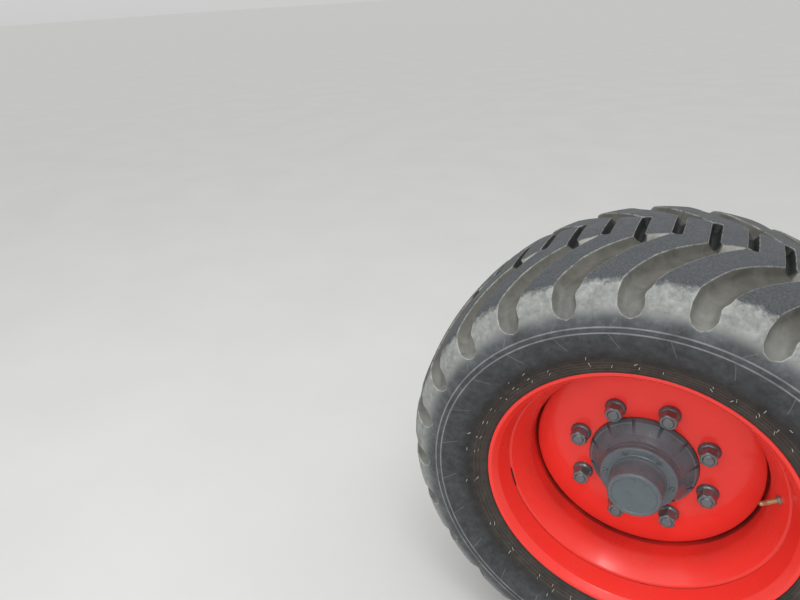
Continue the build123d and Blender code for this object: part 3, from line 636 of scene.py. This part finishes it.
# The rim is toned a little darker all over; painted shade darkens it more deeper in its well, along
# its crease and in the gap round the disc, and darkens the disc's edge
along_axle = add("SeparateXYZ", place).outputs["Y"]
reach = axle_reach(add, place)
on_rim = add("GREATER_THAN", reach, 0.2352)
well = add("MapRange", along_axle, -0.622, -0.575, 0.12, 0.42, interpolation_type="SMOOTHSTEP")
gap = add("MapRange", along_axle, -0.558, -0.549, 0.0, 0.95, interpolation_type="SMOOTHSTEP")
crease = add("MULTIPLY", add("COMPARE", along_axle, -0.6408, 0.0015), 0.7)
for deeper in (gap, crease):
    well = add("MAXIMUM", well, deeper)
well = add("MULTIPLY", well, on_rim)
# Painted shade along the disc's edge, beside the gap
rind = add("MapRange", reach, 0.2285, 0.2325, 0.0, 0.9)
rind = add("MULTIPLY", rind, add("SUBTRACT", 1.0, on_rim))
# Painted shade and the rim's darker tone together, patchy with the clouds
dirt_and_shade = add("MAXIMUM", well, rind)
dirt_and_shade = add("MULTIPLY", dirt_and_shade, add("MapRange", clouds, 0.3, 0.65, 0.5, 1.0))
shine = add("MapRange", clouds, 0.35, 0.75, 0.14, 0.26)
feed(shader, {
    "Base Color": add("Mix", dirt_and_shade, tone, "#6E2019"),
    "Roughness": add("MULTIPLY_ADD", dirt_and_shade, 0.4, shine),
    "Specular IOR Level": 0.38,
    "Normal": add("Bump", {"Height": peel, "Distance": 0.0001, "Strength": 0.2})})

disc = new_object("wheel_disc_plate", turned("wheel_disc", rounded([
    (110.3, -558.9, 1), (150, -558.9, 400), (195, -555.2, 400), (231.5, -545.6, 8),
    (231.5, -537), (235.7, -534.5), (235.7, -530.9, 2), (195, -541.2, 400), (150, -544.9, 400),
    (110.3, -544.9, 1)]), steps=240), red_enamel)
rim = new_object("rim_ring", turned("rim", rounded([
    (298.45, -693.9, 2), (285.75, -687.2, 4), (272.25, -633.2, 10), (242, -587.2, 16),
    (242, -437.2, 16), (272.25, -334.8, 10), (285.75, -280.8, 4), (298.45, -274.1, 2),
    (298.45, -268.1, 2), (290.45, -270.1, 3), (279.75, -284.8, 7), (266.25, -332.8, 9),
    (236, -439.2, 16), (236, -585.2, 22), (264.5, -637.5, 4), (270.6, -639.6, 0.5),
    (271.2, -641.6, 0.5), (268.2, -642.6, 1), (279.75, -683.2, 7), (290.45, -697.9, 4),
    (298.45, -699.9, 2.5),
]), steps=320), red_enamel)
# The disc's weld to the rim, at its back
weld_steps = 120
weld_circle = bpy.data.meshes.new("rim_weld_path")
weld_circle.from_pydata(
    [polar(233.4, 2 * pi * step / weld_steps, -528.8) for step in range(weld_steps)],
    [(step, (step + 1) % weld_steps) for step in range(weld_steps)], [])
rim_weld = modified("rim_weld", weld_circle, weld_run, {
    "Ripple": weld_ripple, "Spacing": 0.005, "Material": red_enamel})
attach(rim_weld, "wheel")
bpy.data.objects.remove(weld_ripple)
# A near-black strip 48 mm long swells out of the ledge's crease: painted shade standing for a dark
# slit there
painted_slit_shade = mottled("painted_slit_shade", 0.002, 4.0, "#0E0C0B", "#2A211C", Roughness=0.9)
seam_start, seam_step, seam_reach, seam_line = 190.2, 0.85, 267.3, -640.6
seam_count, seam_swell = 13, 1.3
seam_shell = bmesh.new()
seam_rings = []
for step in range(seam_count):
    turn = radians(seam_start + seam_step * step)
    swell = seam_swell * sin(pi * (step + 0.6) / (seam_count + 0.2)) ** 0.5
    section = [(seam_reach - swell, seam_line), (seam_reach - swell, seam_line - 1.6 * swell),
               (271, -642), (271, -639.6)]
    seam_rings.append([seam_shell.verts.new(polar(reach, turn, along)) for reach, along in section])
bridge(seam_shell, seam_rings)
for end in (0, -1):
    seam_shell.faces.new(seam_rings[end])
bmesh.ops.recalc_face_normals(seam_shell, faces=seam_shell.faces)
seam = new_object("rim_seam_gap", new_mesh("rim_seam_gap", seam_shell), painted_slit_shade)
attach(seam, "wheel")
for piece, replaced in ((disc, "wheel_disc"), (rim, "rim")):
    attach(piece, "wheel")
    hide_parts(replaced)

# --------------------------------------
# Valve: a brass stem through the rim's sloping wall, sealed by a rubber washer and drawn tight
# by a nickel plated hexagon nut, with a plain brass cap on its thread.
# Dulled brass, patchy over 6 mm, pale where rain has dried on it
worn_brass, add, shader, place = new_material("worn_brass")
patches, tone = clouded(add, place, 0.006, 4.0, "#A08C68", "#BCA67E")
feed(shader, {"Base Color": tone, "Metallic": 0.55,
              "Roughness": add("MapRange", patches, 0.3, 0.7, 0.3, 0.5)})
# Nickel plate, satin and a little grey
nickel_plate = mottled("nickel_plate", 0.005, 4.0, "#84817A", "#A5A29A", Metallic=0.7,
                       Roughness=0.35)
# The stem stands square on the wall, which slopes towards the axle
valve_turn, wall_in, wall_out = radians(7.4), -0.8355, -0.5494
on_wall = pointing(polar(251.12, valve_turn, -610.2),
                   Vector((wall_in * cos(valve_turn), wall_out, wall_in * sin(valve_turn))))
valve_thread = [(4.5 if turn % 2 else 4.0, 9 + 0.7 * turn) for turn in range(26)]
stem_profile = rounded([
    (0, -9.3), (9, -9.3, 1), (9, -6.3, 0.5), (4.5, -6.3), (4.5, 8), *valve_thread, (4.0, 28),
    (4.0, 28.6), (4.5, 29, 0.4), (4.5, 38, 1), (3.2, 39.8), (3.2, 41, 0.5), (0, 41)],
    steps=2)
stem = new_object("valve_stem", turned("valve_stem", stem_profile, steps=28, turn_to=on_wall),
                  worn_brass)
collar_nut = new_object("valve_nut", turned("valve_nut", rounded([
    (4.6, 0.4), (9, 0.4), (9, 5.4, 0.8), (7.6, 6.4), (4.6, 6.4)], steps=2), steps=6,
    turn_to=on_wall), nickel_plate)
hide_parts("valve")
for piece in (stem, collar_nut):
    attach(piece, "wheel")

# --------------------------------------
# Tyre: a tubeless 500/45-22.5 flotation tyre, moulded rubber over a fabric casing, seated on
# the rim's tapered beads. Twenty-five curved grooves a side cross its tread.
rim_middle = -484  # millimetres along Y
groove_count = 25
groove_tip = 8.9  # degrees above the X axis of the first groove's outer end
pitch = 360 / groove_count  # degrees from groove to groove
arc_scale = 8.847  # millimetres round the tread for a degree
# Outer skin from the middle of the tread to the flange: distance from the centre plane, radius
skin_corners = [(0, 506.9), (56, 505), (106, 499.5), (136, 494.5), (166, 489), (196, 480.5),
                (216, 467), (236, 446), (244.3, 428), (248.2, 408), (248.4, 396), (246.8, 380),
                (241, 360), (233, 340), (225.5, 323), (220, 311), (217.2, 303), (216.1, 299.3)]
# Bead and inner wall, from the rim's flange back to the middle
inner_corners = [(215.9, 298.8), (203.5, 298.8), (203, 291), (198.3, 286.2), (170.3, 278.5),
                 (170, 294), (229, 396), (150, 457), (0, 467)]


def mirrored(corners):
    """The same points on the other side of the centre plane."""
    return [(-across, radius) for across, radius in corners]


def smoothed(points, steps=24):
    """Curve through the points (Catmull-Rom), finely divided."""
    padded = np.vstack([2 * points[0] - points[1], points, 2 * points[-1] - points[-2]])
    parts = []
    share = np.linspace(0, 1, steps, endpoint=False)[:, None]
    for a, b, c, d in zip(padded, padded[1:], padded[2:], padded[3:]):
        parts.append(0.5 * (2 * b + (c - a) * share + (2 * a - 5 * b + 4 * c - d) * share**2
                            + (3 * b - a - 3 * c + d) * share**3))
    return np.vstack([*parts, points[-1:]])


skin_line = smoothed(np.array(mirrored(skin_corners[:0:-1]) + skin_corners, float))
skin_length = np.concatenate([[0], np.cumsum(np.hypot(*np.diff(skin_line, axis=0).T))])
skin_half = skin_length[-1] / 2
skin_length -= skin_half

# Groove outline on the unrolled skin: degrees from the tip, millimetres from the middle
groove_outline = [(-11.6, 64), (-6.6, 99), (-2.6, 134), (0.2, 173), (2.3, 205), (3.0, 232),
                  (2.9, 257), (1.9, 271), (0, 277.5), (-1.9, 270), (-2.8, 254), (-2.5, 230),
                  (-3.7, 217.5), (-4.3, 203), (-6.7, 171), (-10.1, 134), (-14.5, 89),
                  (-18.6, 50), (-19.3, 44)]
slot_outline = [(-11.6, 66), (-11.6, -48), (-13.8, -48), (-13.8, 66)]
slot_middle = -12.7  # degrees from the tip


def outline_distance(place, outline):
    """Distance of each place from an outline, negative inside it."""
    corners = np.array(outline, float) * (arc_scale, 1)
    nearest = np.full(len(place), np.inf)
    inside = np.zeros(len(place), bool)
    for start, end in zip(corners, np.roll(corners, -1, axis=0)):
        way = end - start
        share = np.clip(((place - start) @ way) / (way @ way), 0, 1)
        nearest = np.minimum(nearest, np.hypot(*(place - start - share[:, None] * way).T))
        above = (start[1] > place[:, 1]) != (end[1] > place[:, 1])
        if way[1]:
            inside ^= above & (place[:, 0] < start[0] + (place[:, 1] - start[1]) / way[1] * way[0])
    return np.where(inside, -nearest, nearest)


def groove_distance(place):
    """Distance over the skin from the nearest groove, negative inside one."""
    nearest = np.full(len(place), np.inf)
    for side in (1, -1):
        for step in range(-1, 4):
            lead = groove_tip + pitch * step - (pitch / 2 if side < 0 else 0)
            shifted = (place - (lead * arc_scale, 0)) * (1, side)
            for outline in (groove_outline, slot_outline):
                nearest = np.minimum(nearest, outline_distance(shifted, outline))
    return nearest


# One pitch as a flat grid whose height is the groove's depth, cut along the heights that matter
tread_half = 290
tread_rows = np.linspace(-tread_half, tread_half, 83)
wall_rows = np.linspace(tread_half, skin_half, 13)[1:]
rows = np.concatenate([-wall_rows[::-1], tread_rows, wall_rows])
columns = np.linspace(0, pitch * arc_scale, 17)
grid = np.array([(column, row) for row in rows for column in columns])
# Width of a groove's hollow from its edge to its floor, so that 0 is the edge and -1 the floor
hollow = np.interp(abs(grid[:, 1]), [0, 60, 100, 230, 277], [7, 7, 12, 15, 12])
level = np.clip(groove_distance(grid) / hollow, -2, 1)
level[abs(grid[:, 1]) > tread_half + 0.5] = 1
pitch_shell = bmesh.new()
level_scale, width = 10, len(columns)
grid_points = [pitch_shell.verts.new((x, y, z * level_scale)) for (x, y), z in zip(grid, level)]
for first in range(0, len(grid_points) - width, width):
    for place in range(first, first + width - 1):
        pitch_shell.faces.new([grid_points[corner]
                               for corner in (place, place + 1, place + width + 1, place + width)])
for cut in (0.15, 0, -0.2, -0.5, -1):
    bmesh.ops.bisect_plane(
        pitch_shell, geom=pitch_shell.verts[:] + pitch_shell.edges[:] + pitch_shell.faces[:],
        dist=0.05, plane_co=(0, 0, cut * level_scale), plane_no=(0, 0, 1))
pitch_mesh = new_mesh("tread_pitch", pitch_shell)
flat = np.zeros(len(pitch_mesh.vertices) * 3)
pitch_mesh.vertices.foreach_get("co", flat)
around, along, level = (flat.reshape(-1, 3) / (arc_scale, 1, level_scale)).T
across, radius = (np.interp(along, skin_length, skin_line[:, axis]) for axis in (0, 1))
inward_across, inward_radius = (
    np.interp(along, skin_length, sign * np.gradient(skin_line[:, axis], skin_length))
    for axis, sign in ((1, 1), (0, -1)))
scoop = 1 - (1 - np.clip(-level, 0, 1)) ** 2
depth = (np.interp(abs(along), [0, 180, 277, 290], [19, 20, 11, 9]) * scoop
         + np.interp(level, [0, 0.15], [0.5, 0]))
across, radius = across + inward_across * depth, radius + inward_radius * depth


def ring_place(across, radius, around):
    """Places in metres round the axle of points of the tyre's section."""
    x, z = (radius * way(np.radians(around)) for way in (np.cos, np.sin))
    return np.column_stack([x, rim_middle - across, z]) / 1000


pitch_mesh.vertices.foreach_set("co", ring_place(across, radius, around).ravel())
for name, values in (("groove", level), ("skin", along / 1000)):
    pitch_mesh.attributes.new(name, "FLOAT", "POINT").data.foreach_set("value", values)
inner_shell = bmesh.new()
inner_shell.from_mesh(pitch_mesh)
groove_layer, skin_layer = (inner_shell.verts.layers.float[name] for name in ("groove", "skin"))
turns = np.linspace(0, pitch, width)
inner_rings = []
for across, radius in (skin_line[-1], *inner_corners, *mirrored(inner_corners[-2::-1]),
                       skin_line[0]):
    ring = []
    for spot in ring_place(np.full(width, across), radius, turns):
        corner = inner_shell.verts.new(spot)
        corner[groove_layer], corner[skin_layer] = 1, 0.5 if across > 0 else -0.5
        ring.append(corner)
    inner_rings.append(ring)
bridge(inner_shell, inner_rings, around=False)
bmesh.ops.remove_doubles(inner_shell, verts=inner_shell.verts, dist=2e-5)
inner_shell.to_mesh(pitch_mesh)

# Black rubber, greyed by wear: slate lands with fine chips, olive road dust in the grooves, pale
# scuffs on the shoulder between the grooves' ends, and a brown wax bloom beside the bead
worn_rubber, add, shader, place = new_material("worn_rubber")
edge = add("Attribute", attribute_name="groove").outputs["Fac"]
skin = add("ABSOLUTE", add("Attribute", attribute_name="skin").outputs["Fac"])
reach = axle_reach(add, place)
smears = add("TexNoise", {"Vector": place, "Scale": 1 / 0.05, "Detail": 8.0, "Roughness": 0.62,
                          "Distortion": 0.6})
chips = add("TexNoise", place, 1 / 0.0035, 4.0)
scuffs = add("TexNoise", place, 1 / 0.014, 7.0, 0.7)
# Bands over the sidewall by radius, from the bead at 298 mm out to the grooves' ends at 430 mm
bands = add("ValToRGB", add("MapRange", reach, 0.298, 0.43))
stops = [(0.0, "#2D2A27"), (0.08, "#38332E"), (0.22, "#332F2B"), (0.3, "#2A2A2A"),
         (0.36, "#303233"), (0.46, "#393C3E"), (0.7, "#3D4042"), (0.8, "#434648"),
         (0.9, "#4C4F51"), (1.0, "#5A5D5F")]
while len(bands.color_ramp.elements) < len(stops):
    bands.color_ramp.elements.new(0.5)
for stop, (spot, code) in zip(bands.color_ramp.elements, stops):
    stop.position, stop.color = spot, linear(code)
smear = add("MapRange", smears, 0.35, 0.75, 0.72, 1.45)
mottle = add("MapRange", scuffs, 0.35, 0.7, 0.74, 1.4)
side = add("Mix", 1.0, bands, smear, blend_type="MULTIPLY")
side = add("Mix", 1.0, side, mottle, blend_type="MULTIPLY")
land = add("Mix", add("MapRange", chips, 0.35, 0.72), "#3A3D40", "#525558")
# Where the lands end in the scuffed shoulder, the border wanders by 8 mm
wander = add("MULTIPLY_ADD", scuffs, 0.035, skin)
shoulder = add("MapRange", wander, 0.221, 0.235)
beyond = add("MapRange", wander, 0.272, 0.296, interpolation_type="SMOOTHSTEP")
pale = add("Mix", add("MapRange", scuffs, 0.3, 0.7), "#6A6C6B", "#989A96")
crown = add("Mix", shoulder, land, pale)
skin_tone = add("Mix", beyond, crown, side)
# Dust in the grooves: olive over the crown, pale at the open ends. Painted shade makes the cross
# slots near black, and a painted highlight makes the grooves pale where they open into the slots
dust_and_painted_light = add("Mix", add("MapRange", skin, 0.17, 0.25), "#55544E", "#6B6B67")
split = add("SeparateXYZ", place).outputs
angle = add("ARCTAN2", split["Z"], split["X"])
off = add("SUBTRACT", angle, radians(groove_tip + slot_middle))
off = add("PINGPONG", off, radians(pitch / 4))
slots = add("MapRange", skin, 0.068, 0.052, interpolation_type="SMOOTHSTEP")
beside = add("MapRange", off, 0.022, 0.03)
mouth_highlight = add("MULTIPLY", slots, beside)
# Painted highlight: pale where the grooves open into the cross slots
dust_and_painted_light = add("Mix", mouth_highlight, dust_and_painted_light, "#A6A6A0")
# Painted shade: near black inside the cross slots
dust_and_painted_light = add("Mix", add("SUBTRACT", slots, mouth_highlight), dust_and_painted_light, "#222424")
dust_and_painted_light = add("Mix", 1.0, dust_and_painted_light, smear, blend_type="MULTIPLY")
tone = add("Mix", add("MapRange", edge, 0.0, -0.06), skin_tone, dust_and_painted_light)
# Edges painted pale, 1.5 mm wide: painted highlight where they catch the light, and rubbed wear
edge_highlight_and_wear = add("MapRange", edge, 0.1, 0.01)
for share in (add("MapRange", edge, -0.08, -0.01),
              add("MapRange", scuffs, 0.38, 0.62, 0.1, 0.7)):
    edge_highlight_and_wear = add("MULTIPLY", edge_highlight_and_wear, share)
tone = add("Mix", edge_highlight_and_wear, tone, "#B4B5AF")
# Two moulded ridges round the sidewall, 3 mm wide, their crests rubbed light
ridges = 0.0
for crest in (0.4061, 0.3949):
    away = add("ABSOLUTE", add("SUBTRACT", reach, crest))
    ridge = add("MapRange", away, 0.0024, 0.0006, interpolation_type="SMOOTHSTEP")
    ridges = add("MAXIMUM", ridges, ridge)
# Faint moulded lines from each groove's tip, back to the ridges and then forward over the wall:
# degrees, degrees a millimetre, and the millimetres of radius between which a line runs
for begin, slope, top, low in ((groove_tip + 2.6, 0.127, 424, 406),
                               (groove_tip + 5.1, -0.075, 394, 362)):
    drift = radians(slope) * 1000
    off = add("MULTIPLY_ADD", reach, drift, angle)
    off = add("SUBTRACT", off, radians(begin) + drift * top / 1000)
    off = add("PINGPONG", off, radians(pitch / 2))
    off = add("MULTIPLY", off, reach)
    line = add("MapRange", off, 0.0012, 0.0003, 0.0, 0.5)
    there = add("COMPARE", reach, (top + low) / 2000, (top - low) / 2000)
    line = add("MULTIPLY", line, there)
    ridges = add("MAXIMUM", ridges, line)
patch = add("MapRange", smears, 0.35, 0.65, 0.35, 0.85)
light_ridges = add("MULTIPLY", ridges, patch)
tone = add("Mix", light_ridges, tone, "#8E9091")
# Fine moulded rings every 7 mm beside the bead, with brown wax on their crests
comb = add("MapRange", add("PINGPONG", reach, 0.0035), 0.0027, 0.0034)
for start, stop in ((0.3035, 0.3045), (0.3305, 0.3295)):
    comb = add("MULTIPLY", comb, add("MapRange", reach, start, stop))
wax = add("MULTIPLY", comb, patch)
relief = add("Bump", {"Height": chips, "Distance": 0.0005, "Strength": 0.45})
ridges = add("MAXIMUM", ridges, comb)
relief = add("Bump", {"Height": ridges, "Distance": 0.0012, "Strength": 0.7, "Normal": relief})
feed(shader, {
    "Base Color": add("Mix", wax, tone, "#66605A"), "Specular IOR Level": 0.3,
    "Roughness": add("MapRange", smears, 0.3, 0.7, 0.5, 0.72), "Normal": relief})

tyre = modified("tyre_rubber", pitch_mesh, axle_ring, {
    "Count": groove_count, "Weld distance": 0.00004, "Material": worn_rubber})
ring_mesh = tyre.data
tyre_shell = bmesh.new()
tyre_shell.from_mesh(ring_mesh)
bmesh.ops.recalc_face_normals(tyre_shell, faces=tyre_shell.faces)
tyre_shell.to_mesh(ring_mesh)
ring_mesh.shade_smooth()
# Only the grooves' edges stay sharp
level = np.zeros(len(ring_mesh.vertices))
ring_mesh.attributes["groove"].data.foreach_get("value", level)
ends = np.zeros(len(ring_mesh.edges) * 2, int)
ring_mesh.edges.foreach_get("vertices", ends)
on_edge = (abs(level[ends]) < 0.012).reshape(-1, 2).all(axis=1)
ring_mesh.attributes.new("sharp_edge", "BOOLEAN", "EDGE").data.foreach_set("value", on_edge)
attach(tyre, "wheel")
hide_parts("tyre")

# --------------------------------------
# Vent hairs: whiskers of rubber 1.3 mm thick left by the mould's air vents, some rubbed away. They
# stand in three rows beside the bead, one every half pitch, and their tips catch the light
hair_profile = [(0, 0.6), (0.6, 0.6), (0.55, -2), (0.45, -4.2), (0.28, -5), (0, -5.2)]
hair_mesh = turned("vent_hair", hair_profile, steps=6)
hair_ring, add, inputs = new_group("hair_ring", {
    "Hair": "Geometry", "Count": "Int", "Radius": "Float", "Place": "Float",
    "Share lost": "Float", "Seed": "Int", "Material": "Material"})
stray = add("FunctionNodeRandomValue", {"Min": -0.012, "Max": 0.012, "Seed": inputs["Seed"]})
angle, spot = ring_spots(add, inputs, stray)
spot = add("VectorMath", spot, add("CombineXYZ", {"Y": inputs["Place"]}), operation="ADD")
points = add("GeometryNodePoints", inputs["Count"], spot)
fate = add("FunctionNodeRandomValue", {"Min": 0.0, "Max": 1.0, "Seed": 3})
lost = add("LESS_THAN", fate, inputs["Share lost"])
left = add("GeometryNodeDeleteGeometry", points, lost)
lean = add("FunctionNodeRandomValue", {
    "Min": (-0.45, -3.1, -0.45), "Max": (0.45, 3.1, 0.45), "Seed": 5}, data_type="FLOAT_VECTOR")
length = add("FunctionNodeRandomValue", {
    "Min": (1, 1.1, 1), "Max": (1.3, 2.2, 1.3), "Seed": 9}, data_type="FLOAT_VECTOR")
repeat(add, inputs, {"Points": left, "Instance": inputs["Hair"], "Rotation": lean,
                     "Scale": length})

# Thin rubber bleached by weather and painted pale as a highlight: pale at the tips, which is all
# that shows of a hair
bleached_highlit_rubber = mottled("bleached_highlit_rubber", 0.01, 2.0, "#8C8B84", "#D8D8D2", Roughness=0.7)
near = skin_line[skin_line[:, 0] > 200]
for side in (1, -1):
    for row, (reach, lost) in enumerate(((0.3185, 0.2), (0.3265, 0.35), (0.3415, 0.7))):
        away = np.interp(-reach * 1000, -near[:, 1], near[:, 0])
        hair = hair_mesh.copy()
        if side < 0:
            hair.transform(Matrix.Rotation(pi, 4, "X"))
        name = f"vent_hairs_{'outer' if side > 0 else 'inner'}_{row}"
        hairs = modified(name, hair, hair_ring, {
            "Count": 2 * groove_count, "Radius": reach, "Place": (rim_middle - side * away) / 1000,
            "Share lost": lost, "Seed": row * 2 + side, "Material": bleached_highlit_rubber})
        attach(hairs, "wheel")
